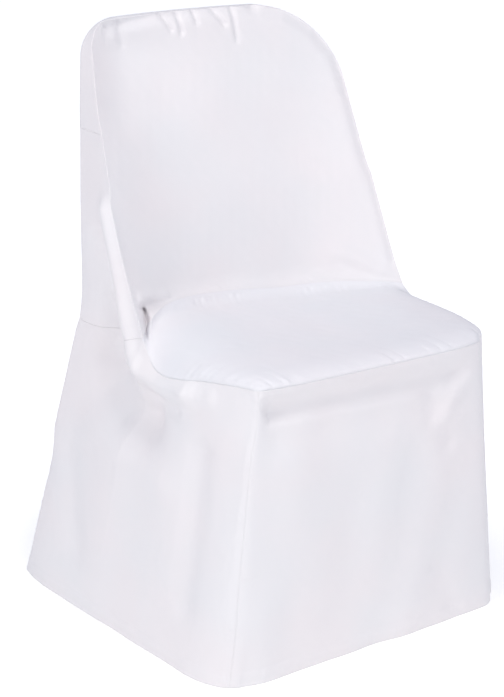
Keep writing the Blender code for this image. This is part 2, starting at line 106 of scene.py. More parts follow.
def swelling(start: Point, end: Point, outward: Point, swells: tuple[float, float], turn: float,
             t: Array) -> Array:
    """Bends a seam outwards between its two ends.

    The swell goes from the first value to the second, times the square of one less exp(-distance / turn)
    at each end, so that it starts softly.

    Args:
        start: Where the seam begins.
        end: Where it ends.
        outward: The direction in which it swells.
        swells: The swell near its start and near its end.
        turn: How soon after a corner the swell is reached.
        t: Fractions along the seam.

    Returns:
        The points of the seam.
    """
    length = np.linalg.norm(np.subtract(end, start))
    turned = ((1 - np.exp(-t * length / turn)) * (1 - np.exp(-(1 - t) * length / turn))) ** 2
    swell = (swells[0] * (1 - t) + swells[1] * t) * turned
    return straight(start, end, t) + np.array(outward) * column(swell)


def soft_waves(points: Array, lengths: Point, seed: int, count: int = 9) -> Array:
    """Makes a smooth uneven field out of a few plane waves.

    It is the sum of count sines, each along its own random direction with its own phase, divided by the
    square root of half their count, so that it mostly lies between minus one and one.

    Args:
        points: Where the field is read, one point in each row.
        lengths: The typical wave length along X, Y and Z.
        seed: Which field it is.
        count: The number of waves.

    Returns:
        The value at each point.
    """
    random = np.random.default_rng(seed)
    directions = random.normal(size=(count, 3))
    directions /= np.linalg.norm(directions, axis=1, keepdims=True)
    stretch = random.uniform(0.6, 1.5, size=(count, 1))
    phases = random.uniform(0, 2 * np.pi, size=count)
    turns = 2 * np.pi * (points / np.array(lengths)) @ (directions * stretch).T
    return np.sin(turns + phases).sum(axis=1) / math.sqrt(count / 2)


@dataclass(frozen=True)
class SideSeams:
    """The seams on one side of the cover, worked out from the corners where they meet.

    The seams around the back each have, at their top, a half width and the width and drop of the corner.
    """

    outward: float
    seat_corner: Point
    crease_corner: Point
    rear_corner: Point
    hem_front: Point
    hem_rear: Point
    front_swell: float
    hem_swells: tuple[float, float]
    front_top: Point
    rear_top: Point
    seat_drop: float
    seat_bulge: float
    gusset_sag: float
    sink_power: float = 1.3
    return_power: float = 9
    turn: float = 0.024

    def seat_edge(self, t: Array) -> Array:
        """Returns the straight edge of the seat, from the front corner to the crease."""
        return straight(self.seat_corner, self.crease_corner, t)

    def seat_hang(self, t: Array) -> Array:
        """Gives how far the seam of the seat's side lies from the edge of the seat.

        It sinks by drop times t to the sink power and comes back steeply at the crease, and it bulges out
        as half a sine wave.

        Args:
            t: Fractions from the front corner to the crease.

        Returns:
            The offset at each fraction.
        """
        down = self.seat_drop * t ** self.sink_power * (1 - t ** self.return_power)
        out = self.outward * self.seat_bulge * np.sin(np.pi * t)
        return np.stack([out, np.zeros_like(t), -down], axis=1)

    def gusset_foot(self, t: Array) -> Array:
        """Returns the sagging seam between the gusset and the skirt, from the crease to the rear corner."""
        return straight(self.crease_corner, self.rear_corner, t) - upwards(self.gusset_sag * np.sin(np.pi * t))

    def hem(self, t: Array) -> Array:
        """Returns the hem of the side, from the front corner to the rear corner."""
        return swelling(self.hem_front, self.hem_rear, (self.outward, 0, 0), self.hem_swells, self.turn, t)

    def front_seam(self, t: Array) -> Array:
        """Returns the seam from the front corner of the seat down to the hem."""
        return straight(self.seat_corner, self.hem_front, t)

    def rear_seam(self, t: Array) -> Array:
        """Returns the seam from the rear corner at seat level down to the hem."""
        return straight(self.rear_corner, self.hem_rear, t)


LEFT = SideSeams(
    outward=-1,
    seat_corner=(-0.188, -0.236, 0.431),
    crease_corner=(-0.226, -0.010, 0.449),
    rear_corner=(-0.216, 0.178, 0.4245),
    hem_front=(-0.233, -0.234, 0),
    hem_rear=(-0.283, 0.283, 0),
    front_swell=0.008,
    hem_swells=(0.020, 0.017),
    front_top=(0.200, 0.030, 0.040),
    rear_top=(0.201, 0.055, 0.046),
    seat_drop=0.056,
    seat_bulge=0.004,
    gusset_sag=0.013,
)
RIGHT = SideSeams(
    outward=1,
    seat_corner=(0.212, -0.235, 0.428),
    crease_corner=(0.232, -0.008, 0.449),
    rear_corner=(0.219, 0.178, 0.4245),
    hem_front=(0.267, -0.228, 0),
    hem_rear=(0.289, 0.272, 0),
    front_swell=0.016,
    hem_swells=(0.010, 0.012),
    front_top=(0.219, 0.140, 0.125),
    rear_top=(0.223, 0.144, 0.129),
    seat_drop=0.028,
    seat_bulge=0.016,
    gusset_sag=0.008,
)


@dataclass(frozen=True)
class BackSeam:
    """A seam around the back: one in front, between band and inside back, and one at the rear.

    From each foot it rises to a rounded corner, a quarter of an ellipse, and runs on over the crowned
    top. On the way up it leans back, most at the foot by its bow, and draws in, most near the corner.
    """

    feet: tuple[Point, Point]
    tops: tuple[Point, Point]
    top_y: float
    bow: float
    height: float = 0.860
    crown: float = 0.006
    tilt: float = 0.005
    taper_power: float = 1.9
    steps: int = 1200

    def half_line(self, index: int) -> tuple[Array, int]:
        """Traces one side of the seam.

        Args:
            index: 0 for the left side, 1 for the right one.

        Returns:
            A polyline from the foot to the middle of the top, and the index of its corner's middle.
        """
        foot, (half, width, drop) = self.feet[index], self.tops[index]
        side = np.sign(foot[0])
        angle = np.linspace(0, np.pi / 2, self.steps)
        shoulder = self.height - self.crown - drop
        rising = np.linspace(0, 1, self.steps, endpoint=False)
        side_x = abs(foot[0]) + (half - abs(foot[0])) * rising ** self.taper_power
        side_z = foot[2] + (shoulder - foot[2]) * rising
        corner_x = half - width * (1 - np.cos(angle))
        corner_z = shoulder + drop * np.sin(angle)
        top_x = np.linspace(corner_x[-1], 0, self.steps)[1:]
        x = np.concatenate([side_x, corner_x, top_x])
        z = np.concatenate([side_z, corner_z, np.full_like(top_x, corner_z[-1])])
        crowned = self.crown * np.clip(1 - (x / half) ** 2, 0, 1) - side * self.tilt * x / half
        z = z + crowned * np.clip((z - shoulder) / drop, 0, 1)
        share = (z - foot[2]) / (self.height - foot[2])
        y = foot[1] + (self.top_y - foot[1]) * (share + self.bow * share * (1 - share))
        return np.stack([side * x, y, z], axis=1), self.steps + self.steps // 2

    def rise(self, index: int, t: Array) -> Array:
        """Returns the part at one side, upwards from its foot to the middle of the top corner."""
        line, middle = self.half_line(index)
        return along(line[:middle], t)

    def arch(self, t: Array) -> Array:
        """Returns the part over the top, from left to right."""
        (left, left_middle), (right, right_middle) = self.half_line(0), self.half_line(1)
        return along(np.concatenate([left[left_middle - 1:], right[right_middle - 1:][::-1][1:]]), t)


@dataclass(frozen=True)
class CoonsPatch:
    """A sheet spanned between four seams that meet at its corners."""

    bottom: Curve
    top: Curve
    left: Curve
    right: Curve

    def __call__(self, u: Array, v: Array) -> Array:
        """Spans the sheet.

        It adds the two ways of ruling straight lines between opposite seams, and takes away the flat
        bilinear sheet between the four corners, which both of them hold.

        Args:
            u: Fractions from left to right.
            v: Fractions from bottom to top.

        Returns:
            The point of the sheet at each u and v.
        """
        zero, one = np.zeros(1), np.ones(1)
        ruled_up = self.bottom(u) * column(1 - v) + self.top(u) * column(v)
        ruled_across = self.left(v) * column(1 - u) + self.right(v) * column(u)
        low = self.bottom(zero) * column(1 - u) + self.bottom(one) * column(u)
        high = self.top(zero) * column(1 - u) + self.top(one) * column(u)
        return ruled_up + ruled_across - low * column(1 - v) - high * column(v)


@dataclass(frozen=True)
class SeamPlan:
    """Every seam of the cover, and the sheets that they bound.

    The shares say which part of a long edge belongs to which neighbour.
    """

    left: SideSeams = LEFT
    right: SideSeams = RIGHT
    turn: float = 0.024
    hem_rear_swell: float = 0.006
    seat_wraps: tuple[float, float] = (0.065, 0.035)
    seat_lift: float = 0.014
    seat_rim: float = 0.028
    seat_hollow: float = 0.006
    hang_fade_power: float = 4
    crease_depth: float = 0.076
    crease_power: float = 3
    crease_lift: float = 0.018
    crease_lift_reach: float = 0.07
    front_top_y: float = 0.166
    rear_top_y: float = 0.188
    lean_bow: float = 0.28
    narrowing: float = 0.35
    seat_share: float = 13 / 22
    gusset_share: float = 10 / 15
    band_side_share: float = 5 / 30
    rear_skirt_share: float = 15 / 30

    def side(self, index: int) -> SideSeams:
        """Returns the left side for 0 and the right side for 1."""
        return self.right if index else self.left

    def front_back_seam(self) -> BackSeam:
        """Returns the seam in front of the back."""
        feet = (self.left.crease_corner, self.right.crease_corner)
        return BackSeam(feet, (self.left.front_top, self.right.front_top), self.front_top_y, self.lean_bow)

    def rear_back_seam(self) -> BackSeam:
        """Returns the seam behind the back."""
        feet = (self.left.rear_corner, self.right.rear_corner)
        return BackSeam(feet, (self.left.rear_top, self.right.rear_top), self.rear_top_y, 0)

    def seat_front(self, t: Array) -> Array:
        """Returns the seam between the seat and the front skirt, from left to right."""
        swells = (self.left.front_swell, self.right.front_swell)
        return swelling(self.left.seat_corner, self.right.seat_corner, (0, -1, 0), swells, self.turn, t)

    def hem_front(self, t: Array) -> Array:
        """Returns the front hem, from left to right."""
        swells = (self.left.front_swell, self.right.front_swell)
        return swelling(self.left.hem_front, self.right.hem_front, (0, -1, 0), swells, self.turn, t)

    def hem_rear(self, t: Array) -> Array:
        """Returns the rear hem, from left to right."""
        swells = (self.hem_rear_swell, self.hem_rear_swell)
        return swelling(self.left.hem_rear, self.right.hem_rear, (0, 1, 0), swells, self.turn, t)

    def crease(self, t: Array) -> Array:
        """Traces the seam at the back of the seat.

        Between its ends it bends back by depth times one less |2t - 1| to a power. Near the left end it is
        lifted by x e to the power (1 - x), where x is the distance from the end over the reach.

        Args:
            t: Fractions from left to right.

        Returns:
            The points of the seam.
        """
        seam = straight(self.left.crease_corner, self.right.crease_corner, t)
        seam[:, 1] += self.crease_depth * (1 - np.abs(2 * t - 1) ** self.crease_power)
        from_end = (seam[:, 0] - self.left.crease_corner[0]) / self.crease_lift_reach
        seam[:, 2] += self.crease_lift * from_end * np.exp(1 - from_end)
        return seam

    def inside_back(self) -> Surface:
        """Returns the sheet that faces the sitter's back."""
        seam = self.front_back_seam()
        return CoonsPatch(self.crease, seam.arch, lambda t: seam.rise(0, t), lambda t: seam.rise(1, t))

    def seat(self) -> Surface:
        """Makes the sheet over the seat.

        It is flat but for a hollow, the product of two half sine waves. Within the wrap's width of each
        side it drops to its seam with the square of the way covered. From the rim, a quarter of an
        ellipse, it stands higher than its seams by the lift, which fades towards the crease.

        Returns:
            The sheet as a function of u and v.
        """
        flat = CoonsPatch(self.seat_front, self.crease, self.left.seat_edge, self.right.seat_edge)
        width = self.right.seat_corner[0] - self.left.seat_corner[0]
        depth = self.left.crease_corner[1] - self.left.seat_corner[1]
        wrap_left, wrap_right = (wrap / width for wrap in self.seat_wraps)

        def surface(u: Array, v: Array) -> Array:
            """Returns the points of the seat at u and v."""
            from_left = np.clip(u / wrap_left, 0, 1)
            from_right = np.clip((1 - u) / wrap_right, 0, 1)
            hanging = self.left.seat_hang(v) * column((1 - from_left) ** 2)
            hanging += self.right.seat_hang(v) * column((1 - from_right) ** 2)
            turned = np.sin(np.pi * v)
            squeezed = u + turned * (wrap_right * from_right * (1 - from_right)
                                     - wrap_left * from_left * (1 - from_left))
            rim = round_rise(v * depth / self.seat_rim)
            rim = rim * round_rise(u * width / self.seat_rim) * round_rise((1 - u) * width / self.seat_rim)
            hollow = self.seat_hollow * np.sin(np.pi * u) * turned
            return flat(squeezed, v) + hanging + upwards(self.seat_lift * (1 - v) * rim - hollow)

        return surface

    def front_skirt(self) -> Surface:
        """Returns the sheet that falls from the seat's front to the floor, with v counted downwards."""
        return CoonsPatch(self.seat_front, self.hem_front, self.left.front_seam, self.right.front_seam)

    def side_skirt(self, index: int) -> Surface:
        """Makes a side sheet below the seat, which loses the shape of its top seam on the way down.

        Args:
            index: 0 for the left side, 1 for the right one.

        Returns:
            The sheet, with u from the front to the rear and v downwards.
        """
        side, share = self.side(index), self.seat_share

        def top(t: Array) -> Array:
            """Returns the edge of the seat and then the foot of the gusset."""
            early, late = np.clip(t / share, 0, 1), np.clip((t - share) / (1 - share), 0, 1)
            return np.where(column(t <= share), side.seat_edge(early), side.gusset_foot(late))

        plain = CoonsPatch(top, side.hem, side.front_seam, side.rear_seam)

        def surface(u: Array, v: Array) -> Array:
            """Returns the points of the side at u and v."""
            hang = side.seat_hang(np.clip(u / share, 0, 1))
            return plain(u, v) + hang * column((1 - v) ** self.hang_fade_power)

        return surface

    def rear_panel(self) -> Surface:
        """Returns the sheet that falls from the top down the back to the floor, with v counted upwards."""
        seam, share = self.rear_back_seam(), self.rear_skirt_share

        def edge(index: int, t: Array) -> Array:
            """Returns the corner seam of the skirt and then the seam of the back."""
            early, late = np.clip(t / share, 0, 1), np.clip((t - share) / (1 - share), 0, 1)
            return np.where(column(t <= share), self.side(index).rear_seam(1 - early), seam.rise(index, late))

        return CoonsPatch(self.hem_rear, seam.arch, lambda t: edge(0, t), lambda t: edge(1, t))

    def gusset(self, index: int) -> Surface:
        """Makes the tapering sheet at one side of the back.

        Args:
            index: 0 for the left side, 1 for the right one.

        Returns:
            The sheet, with u from the front to the rear and v upwards.
        """
        front, rear, share = self.front_back_seam(), self.rear_back_seam(), self.gusset_share

        def head(t: Array) -> Array:
            """Returns the short cross seam below the top band."""
            end = np.array([share])
            return straight(front.rise(index, end)[0], rear.rise(index, end)[0], t)

        return CoonsPatch(self.side(index).gusset_foot, head,
                          lambda t: front.rise(index, share * t), lambda t: rear.rise(index, share * t))

    def top_band(self) -> Surface:
        """Makes the strip over the top, from the head of the left gusset to that of the right one.

        Returns:
            The sheet, with u along the strip and v from its front seam to its rear seam.
        """
        front, rear = self.front_back_seam(), self.rear_back_seam()
        side_share, head = self.band_side_share, self.gusset_share

        def seam(line: BackSeam, t: Array) -> Array:
            """Returns one long edge of the strip: up the left side, over the top and down the right."""
            up = head + (1 - head) * np.clip(t / side_share, 0, 1)
            over = np.clip((t - side_share) / (1 - 2 * side_share), 0, 1)
            over = over - self.narrowing / (2 * np.pi) * np.sin(2 * np.pi * over)
            down = head + (1 - head) * np.clip((1 - t) / side_share, 0, 1)
            ends = np.where(column(t < 0.5), line.rise(0, up), line.rise(1, down))
            return np.where(column((t > side_share) & (t < 1 - side_share)), line.arch(over), ends)

        def surface(u: Array, v: Array) -> Array:
            """Returns the points of the strip at u and v."""
            return seam(front, u) * column(1 - v) + seam(rear, u) * column(v)

        return surface


def square_to_circle(offset: Array, near: Array) -> Array:
    """Turns a square corner into a round one.

    Args:
        offset: How far each point lies from the middle of the rounding along two axes, one in each row.
        near: Which of the points belong to the corner.

    Returns:
        The offsets. Those near the corner keep their direction, and their length becomes the larger one.
    """
    share = np.where(near, offset.max(axis=1) / np.maximum(np.linalg.norm(offset, axis=1), 1e-9), 1)
    return offset * column(share)


@dataclass(frozen=True)
class RoundedCorner:
    """An upright corner of the skirt that the cloth rounds, from the seat down to the hem.

    Inward holds the signs that point into the cover along X and Y, and the radii are those at both ends.
    """

    top: Point
    bottom: Point
    inward: tuple[float, float]
    radii: tuple[float, float]

    def rounded(self, points: Array) -> Array:
        """Rounds the corner.

        In plan, a point near the corner keeps its direction from the middle of the rounding. Its distance
        there becomes the larger of its two offsets along X and Y, which turns a square into a circle.

        Args:
            points: Points of the cloth, one in each row.

        Returns:
            The points, those away from the corner unchanged.
        """
        down = np.clip((self.top[2] - points[:, 2]) / (self.top[2] - self.bottom[2]), 0, 1)
        radius = self.radii[0] + (self.radii[1] - self.radii[0]) * down
        line = straight(self.top, self.bottom, down)[:, :2]
        middle = line + np.array(self.inward) * column(radius)
        offset = (middle - points[:, :2]) * np.array(self.inward)
        near = np.all(offset > 0, axis=1)
        moved = points.copy()
        moved[:, :2] = middle - square_to_circle(offset, near) * np.array(self.inward)
        return moved


@dataclass(frozen=True)
class RoundedCrease:
    """The valley between the seat and the inside back, which the cloth bridges in a round.

    Its ends are the X of both ends of the seam. The radius fades towards them with a high power.
    """

    seam: Curve
    ends: tuple[float, float]
    radius: float = 0.034
    end_power: float = 6
    reach: float = 1.6

    def rounded(self, points: Array) -> Array:
        """Rounds the valley, in the same way as an upright corner but along Y and Z.

        Args:
            points: Points of the cloth, one in each row.

        Returns:
            The points, those away from the valley unchanged.
        """
        t = (points[:, 0] - self.ends[0]) / (self.ends[1] - self.ends[0])
        line = self.seam(np.clip(t, 0, 1))
        radius = self.radius * (1 - np.clip(np.abs(2 * t - 1), 0, 1) ** self.end_power)
        middle = line[:, 1:] + np.array((-1, 1)) * column(radius)
        offset = (points[:, 1:] - middle) * np.array((1, -1))
        near = np.all((offset > 0) & (offset < self.reach * column(radius)), axis=1)
        moved = points.copy()
        moved[near, 1:] = (middle + square_to_circle(offset, near) * np.array((1, -1)))[near]
        return moved


# The crease behind the seat and the four corners of the skirt
ROUNDINGS = (
    RoundedCrease(SeamPlan().crease, (LEFT.crease_corner[0], RIGHT.crease_corner[0])),
    RoundedCorner(LEFT.seat_corner, LEFT.hem_front, (1, 1), (0.009, 0.019)),
    RoundedCorner(RIGHT.seat_corner, RIGHT.hem_front, (-1, 1), (0.030, 0.045)),
    RoundedCorner(LEFT.rear_corner, LEFT.hem_rear, (1, -1), (0.003, 0.034)),
    RoundedCorner(RIGHT.rear_corner, RIGHT.hem_rear, (-1, -1), (0.003, 0.034)),
)


@dataclass(frozen=True)
class Fold:
    """A soft ridge or trough along a path, which pushes the cloth near it by a vector.

    The push fades with the distance d from the path as exp(-(d / width) squared).
    """

    name: str
    width: float
    push: Point
    path: tuple[Point, ...]
    reach: float = 3

    def distance(self, points: Array) -> Array:
        """Returns the distance of each point from the straight stretches of the path."""
        nearest = np.full(len(points), np.inf)
        for start, end in zip(self.path[:-1], self.path[1:]):
            line = np.subtract(end, start)
            t = np.clip((points - start) @ line / (line @ line), 0, 1)
            nearest = np.minimum(nearest, np.linalg.norm(points - straight(start, end, t), axis=1))
        return nearest

    def moves(self, points: Array) -> Array:
        """Works out how the fold moves some points.

        Args:
            points: The cloth before it is folded, one point in each row.

        Returns:
            The move of each point, zero for those well outside the box around the path.
        """
        path = np.array(self.path)
        low, high = path.min(axis=0) - self.reach * self.width, path.max(axis=0) + self.reach * self.width
        near = np.all((points > low) & (points < high), axis=1)
        moves = np.zeros_like(points)
        moves[near] = np.array(self.push) * column(bell(self.distance(points[near]), self.width))
        return moves


MAIN_FOLDS = (
    Fold("dip of the crease at the right", 0.070, (0, -0.003, -0.006),
         ((0.070, 0.066, 0.452), (0.180, 0.040, 0.450))),
    Fold("tuck below the front edge", 0.017, (0, 0.012, 0),
         ((-0.165, -0.240, 0.400), (0.000, -0.240, 0.396), (0.150, -0.240, 0.388))),
    Fold("edge below the front tuck", 0.010, (0, -0.004, 0),
         ((-0.165, -0.240, 0.379), (0.000, -0.240, 0.374), (0.100, -0.240, 0.368))),
    Fold("corner tuck", 0.030, (0.005, 0, 0),
         ((-0.186, -0.234, 0.402), (-0.190, -0.234, 0.380))),
    Fold("roll down the left of the inside back", 0.017, (-0.013, 0, 0),
         ((-0.219, 0.092, 0.610), (-0.223, 0.044, 0.495), (-0.226, 0.028, 0.450),
          (-0.229, 0.014, 0.418), (-0.229, -0.010, 0.400), (-0.223, -0.050, 0.393), (-0.214, -0.110, 0.398))),
    Fold("hollow of the left gusset", 0.024, (0.018, 0, 0),
         ((-0.219, 0.120, 0.545), (-0.222, 0.098, 0.480), (-0.226, 0.080, 0.425))),
    Fold("hollow below the left roll", 0.036, (0.030, 0, 0),
         ((-0.226, 0.098, 0.402), (-0.229, 0.080, 0.358), (-0.232, 0.036, 0.334), (-0.230, -0.015, 0.332))),
    Fold("lobe below the left seat seam", 0.016, (-0.006, 0, 0.002),
         ((-0.212, -0.110, 0.388), (-0.206, -0.150, 0.398))),
    Fold("upright trough of the left side", 0.022, (0.007, 0, 0),
         ((-0.218, -0.144, 0.318), (-0.236, -0.142, 0.163), (-0.244, -0.140, 0.100))),
    Fold("slanting ridge of the left side", 0.032, (-0.005, 0, 0),
         ((-0.248, 0.110, 0.276), (-0.236, -0.067, 0.257))),
    Fold("rear trough of the left side", 0.024, (0.005, 0, 0),
         ((-0.255, 0.165, 0.220), (-0.275, 0.120, 0.090))),
    Fold("bulge of the left rear corner", 0.045, (-0.007, 0.005, 0),
         ((-0.221, 0.183, 0.405), (-0.247, 0.211, 0.260))),
    Fold("slit above the left seat corner", 0.012, (0.009, 0.010, 0),
         ((-0.184, 0.048, 0.464), (-0.202, 0.018, 0.452))),
    Fold("shadowed fold at the left of the crease", 0.012, (0, 0.012, 0),
         ((-0.190, 0.060, 0.480), (-0.135, 0.070, 0.474))),
    Fold("ridge at the right of the crease", 0.014, (-0.006, -0.007, 0),
         ((0.170, 0.075, 0.492), (0.218, 0.028, 0.464))),
    Fold("trough at the right of the crease", 0.013, (0.005, 0.006, 0),
         ((0.164, 0.072, 0.476), (0.212, 0.030, 0.450))),
    Fold("hollow at the upper left of the back", 0.042, (0, 0.014, 0),
         ((-0.160, 0.155, 0.810), (-0.168, 0.142, 0.745))),
    Fold("hollow of the inside back", 0.120, (0, 0.007, 0),
         ((0.000, 0.120, 0.640), (0.000, 0.135, 0.720))),
    Fold("streak below the right corner", 0.014, (0, -0.005, 0),
         ((0.155, -0.238, 0.376), (0.122, -0.240, 0.322))),
    Fold("dent below the right corner", 0.016, (0, 0.006, 0),
         ((0.104, -0.240, 0.362), (0.112, -0.240, 0.330), (0.135, -0.240, 0.290))),
    Fold("low trough at the right of the front", 0.018, (0, 0.005, 0),
         ((0.125, -0.240, 0.090), (0.160, -0.240, 0.020))),
    Fold("low ridge at the left of the front", 0.040, (0, -0.004, 0),
         ((-0.190, -0.236, 0.080), (-0.170, -0.238, 0.010))),
    Fold("roll down the right of the inside back", 0.018, (0.007, 0, 0),
         ((0.222, 0.080, 0.590), (0.230, 0.030, 0.460), (0.228, -0.040, 0.400))),
    Fold("hollow of the right gusset", 0.026, (-0.010, 0, 0),
         ((0.219, 0.118, 0.560), (0.224, 0.085, 0.430))),
    Fold("hollow of the right side", 0.060, (-0.010, 0, 0),
         ((0.232, 0.050, 0.350), (0.240, -0.060, 0.300))),
    Fold("upright trough of the right side", 0.030, (-0.008, 0, 0),
         ((0.240, 0.120, 0.300), (0.268, 0.130, 0.060))),
    Fold("left trough of the rear", 0.030, (0, -0.008, 0),
         ((-0.090, 0.190, 0.400), (-0.110, 0.232, 0.060))),
    Fold("right trough of the rear", 0.026, (0, -0.007, 0),
         ((0.120, 0.192, 0.360), (0.128, 0.230, 0.080))),
    Fold("hollow of the rear", 0.110, (0, -0.010, 0),
         ((0.000, 0.190, 0.560), (0.000, 0.190, 0.700))),
)

# Shapes that are finer, sharper or deeper than in the solids
FINE_FOLDS = (
    Fold("rounding of the top edge", 0.010, (0, 0.005, 0),
         ((-0.165, 0.163, 0.850), (-0.080, 0.166, 0.859), (0.000, 0.166, 0.861), (0.079, 0.166, 0.857))),
    Fold("rounding of the right edge", 0.010, (0.004, 0.007, 0),
         ((0.079, 0.166, 0.857), (0.133, 0.161, 0.845), (0.178, 0.152, 0.815), (0.208, 0.138, 0.777),
          (0.219, 0.121, 0.729), (0.225, 0.089, 0.650), (0.230, 0.044, 0.550), (0.232, 0.010, 0.485))),
    Fold("first tuck of the top", 0.0048, (0, 0.0042, 0),
         ((-0.170, 0.167, 0.851), (-0.171, 0.163, 0.820))),
    Fold("ridge beside the first tuck", 0.0050, (0, -0.0035, 0),
         ((-0.158, 0.172, 0.858), (-0.156, 0.165, 0.832))),
    Fold("second tuck of the top", 0.0055, (0, 0.0052, 0),
         ((-0.147, 0.168, 0.856), (-0.140, 0.163, 0.819))),
    Fold("third tuck of the top", 0.0042, (0, 0.0040, 0),
         ((-0.077, 0.167, 0.860), (-0.061, 0.162, 0.837))),
    Fold("fourth tuck of the top", 0.0042, (0, 0.0040, 0),
         ((-0.050, 0.167, 0.862), (-0.045, 0.162, 0.830))),
    Fold("fifth tuck of the top", 0.0038, (0, 0.0036, 0),
         ((-0.024, 0.167, 0.862), (-0.018, 0.162, 0.843))),
    Fold("sixth tuck of the top", 0.0045, (0, 0.0040, 0),
         ((0.008, 0.166, 0.862), (0.028, 0.161, 0.836))),
    Fold("seventh tuck of the top", 0.0042, (0, 0.0040, 0),
         ((0.043, 0.166, 0.860), (0.048, 0.157, 0.811))),
    Fold("slope right of the upper hollow", 0.058, (0, 0.011, 0),
         ((-0.108, 0.150, 0.795), (-0.112, 0.140, 0.740))),
    Fold("middle of the upper back", 0.085, (0, 0.006, 0),
         ((-0.025, 0.150, 0.770), (-0.035, 0.130, 0.700))),
    Fold("mouth of the slit", 0.0038, (0.009, 0.017, -0.003),
         ((-0.203, 0.020, 0.477), (-0.210, 0.004, 0.463), (-0.217, -0.006, 0.450))),
    Fold("fold above the crease's left end", 0.0070, (0, 0.005, -0.002),
         ((-0.206, 0.020, 0.481), (-0.189, 0.030, 0.478), (-0.158, 0.040, 0.471))),
    Fold("ridge over the fold at the crease's left end", 0.0080, (0, -0.005, 0),
         ((-0.205, 0.026, 0.495), (-0.185, 0.037, 0.491), (-0.155, 0.047, 0.484))),
    Fold("sharp side of the deep hollow", 0.015, (0.012, 0, 0),
         ((-0.224, 0.118, 0.388), (-0.229, 0.075, 0.374), (-0.231, 0.030, 0.372))),
    Fold("lower end of the deep hollow's sharp side", 0.011, (0.006, 0, 0),
         ((-0.233, -0.010, 0.366), (-0.228, -0.048, 0.364), (-0.223, -0.085, 0.364))),
    Fold("deeper hollow of the left gusset", 0.015, (0.009, 0, 0),
         ((-0.223, 0.106, 0.465), (-0.224, 0.108, 0.420))),
    Fold("floor of the front tuck", 0.009, (0, 0.004, 0),
         ((-0.165, -0.240, 0.388), (0.000, -0.240, 0.384), (0.140, -0.240, 0.377))),
    Fold("ridge of the front left corner seam", 0.0040, (-0.0011, -0.0011, 0),
         ((-0.1854, -0.2334, 0.420), (-0.2274, -0.2284, 0.0))),
    Fold("flatter edge below the front tuck", 0.011, (0, 0.004, 0),
         ((-0.165, -0.240, 0.379), (0.000, -0.240, 0.374), (0.100, -0.240, 0.368))),
    Fold("slope below the front tuck", 0.028, (0, 0.005, 0),
         ((-0.150, -0.240, 0.362), (0.000, -0.240, 0.358), (0.130, -0.240, 0.350))),
)


class Facing(Enum):
    """The way that a piece's outer side looks."""

    FRONT = (0, -1, 0)
    REAR = (0, 1, 0)
    LEFT = (-1, 0, 0)
    RIGHT = (1, 0, 0)
    UP = (0, 0, 1)


class Edge(Enum):
    """How one edge of a piece is finished."""

    SEAM = "seam"
    HEM = "hem"


class Hold(Enum):
    HUNG = "hung"
    STRETCHED = "stretched"


@dataclass(frozen=True)
class Sewing:
    """The relief that sewing gives a sheet. The drape starts over the calm width beside a seam."""

    cloth: float = 0.0006
    lip: float = 0.00005
    lip_width: float = 0.0026
    calm_width: float = 0.030
    hem: float = 0.022
    hem_step: float = 0.0007
    stitch_dip: float = 0.0006
    stitch_width: float = 0.0016
    pucker: float = 0.0006
    pucker_reach: float = 0.012
    pucker_pitch: float = 0.011
    hem_pucker: float = 0.0003

    def beside_seam(self, distance: Array) -> Array:
        """Returns the height of the lip beside a seam: zero on the seam, and full a few millimetres off."""
        return self.lip * (1 - bell(distance, self.lip_width))

    def pucker_at(self, distance: Array, travelled: Array, seed: int) -> Array:
        """Makes the small uneven ripples that a tight thread draws along a seam.

        Args:
            distance: The distance of each point from the seam.
            travelled: How far along the seam each point lies.
            seed: Which row of ripples it is.

        Returns:
            The height of the ripples, which fades as exp(-distance / reach) and is zero on the seam.
        """
        line = np.stack([travelled, np.zeros_like(travelled), np.zeros_like(travelled)], axis=1)
        ripples = soft_waves(line, (self.pucker_pitch,) * 3, seed)
        uneven = 0.5 + 0.5 * soft_waves(line, (self.pucker_pitch * 6,) * 3, seed + 1)
        leaving = 1 - bell(distance, self.lip_width)
        return self.pucker * ripples * np.clip(uneven, 0, 1) * np.exp(-distance / self.pucker_reach) * leaving

    def at_hem(self, distance: Array, travelled: Array, seed: int) -> Array:
        """Makes the step of the turned hem, with the dip and the faint ripples of its stitches.

        Args:
            distance: The height of each point above the hem's edge.
            travelled: How far along the hem each point lies.
            seed: Which row of ripples it is.

        Returns:
            The height of the relief.
        """
        doubled = self.hem_step * (1 - smooth_step(distance, self.hem, self.hem + self.stitch_width))
        dip = self.stitch_dip * bell(distance - self.hem, self.stitch_width)
        line = np.stack([travelled, np.zeros_like(travelled), np.zeros_like(travelled)], axis=1)
        ripples = soft_waves(line, (self.pucker_pitch,) * 3, seed) * bell(distance - self.hem / 2, self.hem / 2)
        return doubled - dip + self.hem_pucker * ripples


@dataclass(frozen=True)
class Drape:
    """The soft unevenness of cloth that hangs or is drawn over a form."""

    waves: float
    lengths: Point
    crumple: float = 0.00007
    crumple_length: float = 0.022
    hem_gain: float = 0

    def height(self, points: Array, to_hem: Array, seed: int) -> Array:
        """Makes the unevenness.

        Args:
            points: The folded cloth, one point in each row.
            to_hem: One at the hem and zero at the top, for each point.
            seed: Which unevenness it is.

        Returns:
            The height at each point: long waves that may grow towards the hem, and a fine crumple.
        """
        long_waves = soft_waves(points, self.lengths, seed) * (1 + self.hem_gain * to_hem ** 2)
        fine = soft_waves(points, (self.crumple_length,) * 3, seed + 1, 14)
        return self.waves * long_waves + self.crumple * fine


